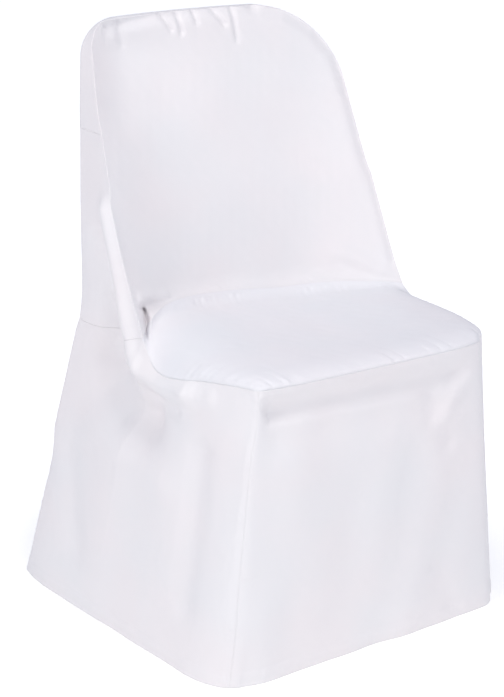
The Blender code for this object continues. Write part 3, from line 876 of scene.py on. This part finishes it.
def graded(length: float, fine: float, coarse: float, reach: float = 0.006) -> Array:
    """Spaces the lines of a grid, closely near both ends.

    The cells grow from fine at an end to coarse inside as one less exp(-distance / reach).

    Args:
        length: The way from end to end.
        fine: The size of the cells at the ends.
        coarse: Their size inside.
        reach: How soon they grow.

    Returns:
        Fractions from 0 to 1.
    """
    s = np.linspace(0, length, 4001)
    cells = coarse - (coarse - fine) * np.minimum(1, np.exp(-s / reach) + np.exp(-(length - s) / reach))
    passed = np.concatenate([[0], np.cumsum(np.diff(s) * (1 / cells[1:] + 1 / cells[:-1]) / 2)])
    count = math.ceil(passed[-1])
    return np.interp(np.linspace(0, passed[-1], count + 1), passed, s) / length


@dataclass(frozen=True)
class Grid:
    """The points of a sheet on a grid, with rows along v and columns along u, and their ways to the edges."""

    points: Array

    def way(self, axis: int) -> Array:
        """Returns how far each point lies from the first line across an axis, along the sheet."""
        steps = np.linalg.norm(np.diff(self.points, axis=axis), axis=2)
        return np.concatenate([np.zeros_like(steps.take([0], axis=axis)), np.cumsum(steps, axis=axis)], axis=axis)

    def normals(self, facing: Facing) -> tuple[Array, bool]:
        """Works out the direction out of the sheet at each point.

        Args:
            facing: The way that the outer side looks.

        Returns:
            The unit normals, and whether the grid runs the other way round.
        """
        along_u, along_v = np.gradient(self.points, axis=1), np.gradient(self.points, axis=0)
        normals = np.cross(along_u, along_v)
        normals /= np.maximum(np.linalg.norm(normals, axis=2, keepdims=True), 1e-12)
        turned = float((normals @ np.array(facing.value, float)).mean()) < 0
        return (-normals if turned else normals), turned


@dataclass(frozen=True)
class CutPiece:
    """One cut piece of cloth, from its pattern to the finished sheet.

    Its edges are those at the first u, the last u, the first v and the last v. Its flat size, in metres,
    and its cut area, in square metres, are declared estimates and aren't worked out from the surface.
    """

    name: str
    surface: Surface
    facing: Facing
    edges: tuple[Edge, Edge, Edge, Edge]
    flat: tuple[float, float]
    cut_area: float
    hold: Hold
    drape: Drape
    finish: "Polyester"
    rests_on: tuple[str, ...] = ()
    cell: float = 0.003
    fine_cell: float = 0.0012
    seed: int = 0
    sewing: Sewing = field(default_factory=Sewing)
    footprint_shift: float = 0.0165

    def folded(self, u: Array, v: Array) -> Array:
        """Shapes the sheet with every fold.

        Args:
            u: Fractions along the first parameter.
            v: Fractions along the second.

        Returns:
            The points, moved from the layout's middle to that of the footprint.
        """
        flat = self.surface(u, v)
        for rounding in ROUNDINGS:
            flat = rounding.rounded(flat)
        moved = flat.copy()
        for fold in MAIN_FOLDS + FINE_FOLDS:
            moved += fold.moves(flat)
        return moved - (0, self.footprint_shift, 0)

    def grid(self) -> Grid:
        """Lays the sheet out on a grid that is finer beside its edges."""
        middle = np.full(200, 0.5)
        t = np.linspace(0, 1, 200)
        width = np.linalg.norm(np.diff(self.surface(t, middle), axis=0), axis=1).sum()
        length = np.linalg.norm(np.diff(self.surface(middle, t), axis=0), axis=1).sum()
        u, v = graded(width, self.fine_cell, self.cell), graded(length, self.fine_cell, self.cell)
        across, up = np.meshgrid(u, v)
        return Grid(self.folded(across.ravel(), up.ravel()).reshape(len(v), len(u), 3))

    def relief(self, grid: Grid) -> Array:
        """Adds up the height of seams, puckers, hem and drape over the folded sheet.

        Args:
            grid: The folded sheet.

        Returns:
            The height at each point of the grid.
        """
        along_u, along_v = grid.way(1), grid.way(0)
        ways = (along_u, along_u[:, -1:] - along_u, along_v, along_v[-1:] - along_v)
        travelled = (along_v, along_v, along_u, along_u)
        to_seam, to_hem = np.full_like(along_u, 1.0), np.full_like(along_u, 1.0)
        height = np.zeros_like(along_u)
        for number, (edge, way, run) in enumerate(zip(self.edges, ways, travelled)):
            seed = self.seed + 10 * number
            if edge is Edge.SEAM:
                to_seam = np.minimum(to_seam, way)
                height += self.sewing.pucker_at(way.ravel(), run.ravel(), seed).reshape(way.shape)
            else:
                to_hem = way
                height += self.sewing.at_hem(way.ravel(), run.ravel(), seed).reshape(way.shape)
        leaving = 1 - bell(to_seam, 2 * self.sewing.lip_width)
        low = np.clip(1 - to_hem / to_hem.max(), 0, 1)
        drape = self.drape.height(grid.points.reshape(-1, 3), low.ravel(), self.seed + 5).reshape(height.shape)
        calm = smooth_step(to_seam, 0, self.sewing.calm_width)
        return height * leaving + drape * calm + self.sewing.beside_seam(to_seam)

    def build(self) -> bpy.types.Object:
        """Returns:
            The finished object.
        """
        grid = self.grid()
        normals, turned = grid.normals(self.facing)
        height = self.relief(grid)
        points = grid.points + normals * height[:, :, None]
        points[:, :, 2] = np.maximum(points[:, :, 2], self.sewing.cloth / 4)
        inner = points - normals * self.sewing.cloth
        inner[:, :, 2] = np.maximum(inner[:, :, 2], self.sewing.cloth / 4)
        mesh = sheet_mesh(self.name, points, turned, inner)
        spread = np.stack([grid.way(1), grid.way(0)], axis=2).reshape(-1, 2)
        add_uv(mesh, np.concatenate([spread, spread]))
        piece = bpy.data.objects.new(f"{self.name}_cloth", mesh)
        bpy.context.scene.collection.objects.link(piece)
        mesh.materials.append(self.finish.material())
        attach(piece, "root")
        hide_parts(self.name)
        cells = np.cross(np.diff(points, axis=0)[:, :-1], np.diff(points, axis=1)[:-1])
        area = float(np.linalg.norm(cells, axis=2).sum())
        LOG.info("%s: %d faces, %.4f square metres, %.3f by %.3f m", piece.name, len(mesh.polygons), area,
                 float(grid.way(1)[:, -1].max()), float(grid.way(0)[-1].max()))
        return piece


def sheet_mesh(name: str, outer: Array, turned: bool, inner: Array | None = None) -> bpy.types.Mesh:
    """Makes a mesh of four-sided faces from a grid of points.

    With an inner grid, that side gets its own faces and a rim of flat faces joins the two, which closes
    the sheet and keeps the shading of its faces even up to the edge.

    Args:
        name: The mesh's name.
        outer: The points, in rows and columns.
        turned: Whether the faces go round the other way.
        inner: The same grid on the other side of the cloth.

    Returns:
        The mesh, shaded smooth but for the rim.
    """
    rows, columns = outer.shape[:2]
    index = np.arange(rows * columns).reshape(rows, columns)
    faces = np.stack([index[:-1, :-1], index[:-1, 1:], index[1:, 1:], index[1:, :-1]], axis=2).reshape(-1, 4)
    points, smooth = outer.reshape(-1, 3), np.ones(len(faces), dtype=bool)
    if inner is not None:
        border = np.concatenate([index[0, :-1], index[:-1, -1], index[-1, :0:-1], index[:0:-1, 0]])
        following = np.roll(border, -1)
        rim = np.stack([following, border, border + len(points), following + len(points)], axis=1)
        faces = np.concatenate([faces, faces[:, ::-1] + len(points), rim])
        points = np.concatenate([points, inner.reshape(-1, 3)])
        smooth = np.concatenate([smooth, smooth, np.zeros(len(rim), dtype=bool)])
    faces = faces[:, ::-1] if turned else faces
    mesh = bpy.data.meshes.new(name)
    mesh.vertices.add(len(points))
    mesh.vertices.foreach_set("co", points.astype(np.float32).ravel())
    mesh.loops.add(faces.size)
    mesh.loops.foreach_set("vertex_index", faces.astype(np.int32).ravel())
    mesh.polygons.add(len(faces))
    mesh.polygons.foreach_set("loop_start", np.arange(0, faces.size, 4, dtype=np.int32))
    mesh.polygons.foreach_set("use_smooth", smooth)
    mesh.update(calc_edges=True)
    return mesh


def add_uv(mesh: bpy.types.Mesh, spread: Array) -> None:
    """Stores where each vertex lies on the flat cloth, in metres, as the mesh's UV map."""
    corner = np.empty(len(mesh.loops), dtype=np.int32)
    mesh.loops.foreach_get("vertex_index", corner)
    mesh.uv_layers.new(name="flat_cloth").data.foreach_set("uv", spread[corner].astype(np.float32).ravel())


@dataclass(frozen=True)
class Polyester:
    """Smooth white polyester in a fine plain weave, with a soft sheen and faint tints."""

    name: str
    colour: Point
    warm: Point = (0.825, 0.765, 0.790)
    cool: Point = (0.750, 0.770, 0.805)
    tint_size: float = 0.16
    tint_share: float = 0.30
    roughness: float = 0.62
    sheen: float = 0.15
    specular: float = 0.30
    weave_pitch: float = 0.0006
    weave_depth: float = 0.00004

    def material(self) -> bpy.types.Material:
        """Builds the material, or returns the one that is there.

        Returns:
            A Principled material with an uneven tint, and a bump from the weave.
        """
        if self.name in bpy.data.materials:
            return bpy.data.materials[self.name]
        material = bpy.data.materials.new(self.name)
        material.use_nodes = True
        nodes, links = material.node_tree.nodes, material.node_tree.links
        shader = nodes["Principled BSDF"]
        shader.inputs["Roughness"].default_value = self.roughness
        shader.inputs["Sheen Weight"].default_value = self.sheen
        shader.inputs["Specular IOR Level"].default_value = self.specular
        place = nodes.new("ShaderNodeTexCoord")
        tint = nodes.new("ShaderNodeGroup")
        tint.node_tree = tint_group()
        tint.inputs["Size"].default_value = self.tint_size
        tint.inputs["Share"].default_value = self.tint_share
        for socket, value in (("Cloth", self.colour), ("Warm", self.warm), ("Cool", self.cool)):
            tint.inputs[socket].default_value = (*value, 1)
        links.new(place.outputs["Object"], tint.inputs["Place"])
        links.new(tint.outputs["Colour"], shader.inputs["Base Color"])
        flat_cloth = nodes.new("ShaderNodeUVMap")
        flat_cloth.uv_map = "flat_cloth"
        weave = nodes.new("ShaderNodeGroup")
        weave.node_tree = weave_group()
        weave.inputs["Pitch"].default_value = self.weave_pitch
        links.new(flat_cloth.outputs["UV"], weave.inputs["Flat Cloth"])
        bump = nodes.new("ShaderNodeBump")
        bump.inputs["Distance"].default_value = self.weave_depth
        links.new(weave.outputs["Height"], bump.inputs["Height"])
        links.new(bump.outputs["Normal"], shader.inputs["Normal"])
        return material


def new_group(name: str, inputs: dict[str, str], outputs: dict[str, str]) -> bpy.types.ShaderNodeTree:
    """Starts a shader node group with its sockets.

    Args:
        name: The group's name.
        inputs: The kind of socket for each input's name.
        outputs: The same for the outputs.

    Returns:
        The group, with a node for its inputs and one for its outputs.
    """
    group = bpy.data.node_groups.new(name, "ShaderNodeTree")
    for label, kind in inputs.items():
        group.interface.new_socket(label, in_out="INPUT", socket_type=kind)
    for label, kind in outputs.items():
        group.interface.new_socket(label, in_out="OUTPUT", socket_type=kind)
    group.nodes.new("NodeGroupInput").name = "In"
    group.nodes.new("NodeGroupOutput").name = "Out"
    return group


def add_math(group: bpy.types.ShaderNodeTree, operation: str, *values: object) -> bpy.types.NodeSocket:
    """Adds a Math node to a group.

    Args:
        group: The group.
        operation: The node's operation.
        values: A number or an output socket for each input.

    Returns:
        The node's output.
    """
    node = group.nodes.new("ShaderNodeMath")
    node.operation = operation
    for socket, value in zip(node.inputs, values):
        if isinstance(value, (int, float)):
            socket.default_value = value
        else:
            group.links.new(value, socket)
    return node.outputs[0]


def tint_group() -> bpy.types.ShaderNodeTree:
    """Builds the group that lets a cloth's colour drift between a warm and a cool tint.

    Two layers of noise on Object coordinates choose the tint, and Share is its strength.

    Returns:
        The group, built once.
    """
    if "cloth_tint" in bpy.data.node_groups:
        return bpy.data.node_groups["cloth_tint"]
    kinds = {"Place": "NodeSocketVector", "Cloth": "NodeSocketColor", "Warm": "NodeSocketColor",
             "Cool": "NodeSocketColor", "Size": "NodeSocketFloat", "Share": "NodeSocketFloat"}
    group = new_group("cloth_tint", kinds, {"Colour": "NodeSocketColor"})
    inside, outside = group.nodes["In"], group.nodes["Out"]
    scale = add_math(group, "DIVIDE", 1.0, inside.outputs["Size"])
    noise = group.nodes.new("ShaderNodeTexNoise")
    noise.inputs["Detail"].default_value = 2
    group.links.new(inside.outputs["Place"], noise.inputs["Vector"])
    group.links.new(scale, noise.inputs["Scale"])
    spread = group.nodes.new("ShaderNodeMapRange")
    spread.inputs["From Min"].default_value = 0.35
    spread.inputs["From Max"].default_value = 0.65
    group.links.new(noise.outputs["Fac"], spread.inputs["Value"])
    tints = group.nodes.new("ShaderNodeMix")
    tints.data_type = "RGBA"
    group.links.new(spread.outputs["Result"], tints.inputs["Factor"])
    group.links.new(inside.outputs["Warm"], tints.inputs[6])
    group.links.new(inside.outputs["Cool"], tints.inputs[7])
    blend = group.nodes.new("ShaderNodeMix")
    blend.data_type = "RGBA"
    group.links.new(inside.outputs["Share"], blend.inputs["Factor"])
    group.links.new(inside.outputs["Cloth"], blend.inputs[6])
    group.links.new(tints.outputs[2], blend.inputs[7])
    group.links.new(blend.outputs[2], outside.inputs["Colour"])
    return group


def weave_group() -> bpy.types.ShaderNodeTree:
    """Builds the group for the relief of a plain weave.

    Along each direction the threads are arches, |sin| of the way over the pitch, and a chequer of the two
    signs says which thread lies on top.

    Returns:
        The group, built once.
    """
    if "plain_weave" in bpy.data.node_groups:
        return bpy.data.node_groups["plain_weave"]
    kinds = {"Flat Cloth": "NodeSocketVector", "Pitch": "NodeSocketFloat"}
    group = new_group("plain_weave", kinds, {"Height": "NodeSocketFloat"})
    inside, outside = group.nodes["In"], group.nodes["Out"]
    split = group.nodes.new("ShaderNodeSeparateXYZ")
    group.links.new(inside.outputs["Flat Cloth"], split.inputs[0])
    waves = []
    for axis in (0, 1):
        turns = add_math(group, "DIVIDE", split.outputs[axis], inside.outputs["Pitch"])
        waves.append(add_math(group, "SINE", add_math(group, "MULTIPLY", turns, math.pi)))
    arches = [add_math(group, "ABSOLUTE", wave) for wave in waves]
    on_top = add_math(group, "GREATER_THAN", add_math(group, "MULTIPLY", waves[0], waves[1]), 0.0)
    below = add_math(group, "SUBTRACT", 1.0, on_top)
    warp = add_math(group, "MULTIPLY", arches[0], on_top)
    weft = add_math(group, "MULTIPLY", arches[1], below)
    group.links.new(add_math(group, "ADD", warp, weft), outside.inputs["Height"])
    return group


@dataclass(frozen=True)
class Cover:
    """The whole cover: its seam plan, its kinds of drape and finish, and its nine pieces. The seat's finish is a
    bluer, less red copy of the same cloth, which paints the cool shade that the up-facing seat takes.
    """

    plan: SeamPlan = field(default_factory=SeamPlan)
    taut: Drape = Drape(waves=0.0006, lengths=(0.11, 0.11, 0.14))
    hanging: Drape = Drape(waves=0.0010, lengths=(0.085, 0.085, 0.40), hem_gain=0.4)
    back_finish: Polyester = Polyester("polyester_back", colour=(0.795, 0.778, 0.782))
    # Painted shade: the seat's colour is the same polyester made bluer and less red, standing in for the cooler
    # light on the up-facing seat.
    seat_painted_shade_finish: Polyester = Polyester("polyester_seat_painted_shade", colour=(0.775, 0.778, 0.800))
    skirt_finish: Polyester = Polyester("polyester_skirt", colour=(0.792, 0.776, 0.778))

    def back(self) -> list[CutPiece]:
        """Returns the pieces of the back."""
        seams = (Edge.SEAM,) * 4
        return [
            CutPiece("inside_back", self.plan.inside_back(), Facing.FRONT, seams, (0.50, 0.48), 0.21,
                     Hold.STRETCHED, self.taut, self.back_finish, cell=0.0024, seed=100),
            CutPiece("rear_panel", self.plan.rear_panel(), Facing.REAR,
                     (Edge.SEAM, Edge.SEAM, Edge.HEM, Edge.SEAM), (0.60, 0.93), 0.45,
                     Hold.STRETCHED, self.hanging, self.back_finish, cell=0.0038, seed=200),
            CutPiece("gusset_left", self.plan.gusset(0), Facing.LEFT, seams, (0.21, 0.38), 0.046,
                     Hold.STRETCHED, self.taut, self.back_finish, seed=300),
            CutPiece("gusset_right", self.plan.gusset(1), Facing.RIGHT, seams, (0.21, 0.38), 0.046,
                     Hold.STRETCHED, self.taut, self.back_finish, seed=400),
            CutPiece("top_band", self.plan.top_band(), Facing.UP, seams, (0.07, 0.655), 0.021,
                     Hold.STRETCHED, self.taut, self.back_finish, cell=0.0022, seed=500),
        ]

    def seat(self) -> list[CutPiece]:
        """Returns the piece over the seat."""
        return [
            # The seat wears the copy of the cloth with the painted cool shade.
            CutPiece("seat", self.plan.seat(), Facing.UP, (Edge.SEAM,) * 4, (0.53, 0.34), 0.16,
                     Hold.STRETCHED, self.taut, self.seat_painted_shade_finish, cell=0.0026, seed=600,
                     sewing=Sewing(lip=0.0003, pucker=0.0011, pucker_reach=0.014)),
        ]

    def skirt(self) -> list[CutPiece]:
        """Returns the pieces that hang from the seat and the gussets."""
        edges = (Edge.SEAM, Edge.SEAM, Edge.SEAM, Edge.HEM)
        return [
            CutPiece("front_skirt", self.plan.front_skirt(), Facing.FRONT, edges, (0.50, 0.48), 0.22,
                     Hold.HUNG, self.hanging, self.skirt_finish, ("seat",), seed=700),
            CutPiece("side_skirt_left", self.plan.side_skirt(0), Facing.LEFT, edges, (0.53, 0.48), 0.22,
                     Hold.HUNG, self.hanging, self.skirt_finish, ("seat",), seed=800),
            CutPiece("side_skirt_right", self.plan.side_skirt(1), Facing.RIGHT, edges, (0.53, 0.48), 0.22,
                     Hold.HUNG, self.hanging, self.skirt_finish, ("seat",), seed=900),
        ]

    def build(self) -> list[bpy.types.Object]:
        """Builds every piece and returns the objects."""
        return [piece.build() for piece in self.back() + self.seat() + self.skirt()]


@dataclass(frozen=True)
class Lamp:
    """A square soft light that looks at a point, placed by its azimuth and elevation round it."""

    name: str
    azimuth: float
    elevation: float
    distance: float
    size: float
    power: float
    colour: Point = (1, 1, 1)

    def build(self, target: Point) -> bpy.types.Object:
        """Makes the light.

        Args:
            target: The point that it looks at.

        Returns:
            The light's object.
        """
        data = bpy.data.lights.new(self.name, "AREA")
        data.shape = "SQUARE"
        data.size = self.size
        data.energy = self.power
        data.color = self.colour
        lamp = bpy.data.objects.new(self.name, data)
        look_from(lamp, target, self.azimuth, self.elevation, self.distance)
        return lamp


def look_from(thing: bpy.types.Object, target: Point, azimuth: float, elevation: float, distance: float) -> None:
    """Places a camera or a light on a sphere round a target and turns it to the target.

    Args:
        thing: The camera or light.
        target: The middle of the sphere.
        azimuth: Degrees round it, from 0 in front of the seat.
        elevation: Degrees above it.
        distance: The sphere's radius.
    """
    turn, rise = math.radians(azimuth), math.radians(elevation)
    away = np.array([math.sin(turn) * math.cos(rise), -math.cos(turn) * math.cos(rise), math.sin(rise)])
    thing.location = np.array(target) + distance * away
    thing.rotation_euler = (math.pi / 2 - rise, 0, turn)
    bpy.context.scene.collection.objects.link(thing)


@dataclass(frozen=True)
class Studio:
    """A plain pale floor in soft light, seen by the camera from the photograph's side."""

    target: Point = (-0.0548, -0.0447, 0.4046)
    azimuth: float = -34.07
    elevation: float = 19.68
    distance: float = 2.792
    lens: float = 100.07
    sensor: float = 36
    floor_size: float = 30
    floor_colour: Point = (0.96, 0.96, 0.95)
    floor_roughness: float = 0.9
    floor_glow: float = 0.10
    far_glow: float = 0.45
    far_glow_reach: tuple[float, float] = (0.28, 0.62)
    sky_colour: Point = (0.81, 0.85, 1.0)
    sky_strength: float = 0.59
    lamps: tuple[Lamp, ...] = (
        Lamp("left", azimuth=-80, elevation=32, distance=3.2, size=1.0, power=34, colour=LAMP_COLOUR),
        Lamp("low_front", azimuth=0, elevation=12, distance=3.2, size=1.0, power=20, colour=LAMP_COLOUR),
        Lamp("high_front", azimuth=0, elevation=72, distance=3.2, size=1.0, power=28, colour=LAMP_COLOUR),
    )

    def camera(self) -> bpy.types.Object:
        """Makes the scene's camera, which stands where the photograph was taken."""
        data = bpy.data.cameras.new("camera")
        data.lens = self.lens
        data.sensor_width = self.sensor
        camera = bpy.data.objects.new("camera", data)
        look_from(camera, self.target, self.azimuth, self.elevation, self.distance)
        bpy.context.scene.camera = camera
        return camera

    def floor(self) -> bpy.types.Object:
        """Makes the floor, a wide flat sheet below the hem.

        Away from the cover it glows for the camera alone, which fades it to white without lighting the cloth.

        Returns:
            The floor's object.
        """
        half = self.floor_size / 2
        t = np.linspace(-half, half, 9)
        x, y = np.meshgrid(t, t)
        mesh = sheet_mesh("floor", np.stack([x, y, np.zeros_like(x)], axis=2), False)
        floor = bpy.data.objects.new("floor", mesh)
        material = bpy.data.materials.new("pale_floor")
        material.use_nodes = True
        shader = material.node_tree.nodes["Principled BSDF"]
        shader.inputs["Base Color"].default_value = (*self.floor_colour, 1)
        shader.inputs["Roughness"].default_value = self.floor_roughness
        shader.inputs["Emission Color"].default_value = (1, 1, 1, 1)
        nodes, links = material.node_tree.nodes, material.node_tree.links
        place, distance = nodes.new("ShaderNodeTexCoord"), nodes.new("ShaderNodeVectorMath")
        distance.operation = "LENGTH"
        links.new(place.outputs["Object"], distance.inputs[0])
        far = nodes.new("ShaderNodeMapRange")
        far.inputs["From Min"].default_value, far.inputs["From Max"].default_value = self.far_glow_reach
        far.inputs["To Max"].default_value = self.far_glow
        links.new(distance.outputs["Value"], far.inputs["Value"])
        seen = nodes.new("ShaderNodeLightPath")
        glow = nodes.new("ShaderNodeMath")
        glow.operation = "MULTIPLY_ADD"
        glow.inputs[2].default_value = self.floor_glow
        links.new(far.outputs["Result"], glow.inputs[0])
        links.new(seen.outputs["Is Camera Ray"], glow.inputs[1])
        links.new(glow.outputs[0], shader.inputs["Emission Strength"])
        floor.data.materials.append(material)
        bpy.context.scene.collection.objects.link(floor)
        return floor

    def sky(self) -> None:
        """Gives the world an even pale light."""
        world = bpy.data.worlds.new("studio_sky")
        world.use_nodes = True
        background = world.node_tree.nodes["Background"]
        background.inputs["Color"].default_value = (*self.sky_colour, 1)
        background.inputs["Strength"].default_value = self.sky_strength
        bpy.context.scene.world = world

    def build(self) -> None:
        """Builds the studio and sets plain colour management."""
        self.camera()
        self.floor()
        self.sky()
        for lamp in self.lamps:
            lamp.build(self.target)
        bpy.context.scene.view_settings.view_transform = "Standard"


def main() -> None:
    """Builds the studio and the cover, and reports each piece."""
    logging.basicConfig(level=logging.INFO, format="%(message)s")
    Studio().build()
    pieces = Cover().build()
    LOG.info("built %d pieces", len(pieces))


if __name__ == "__main__":
    main()
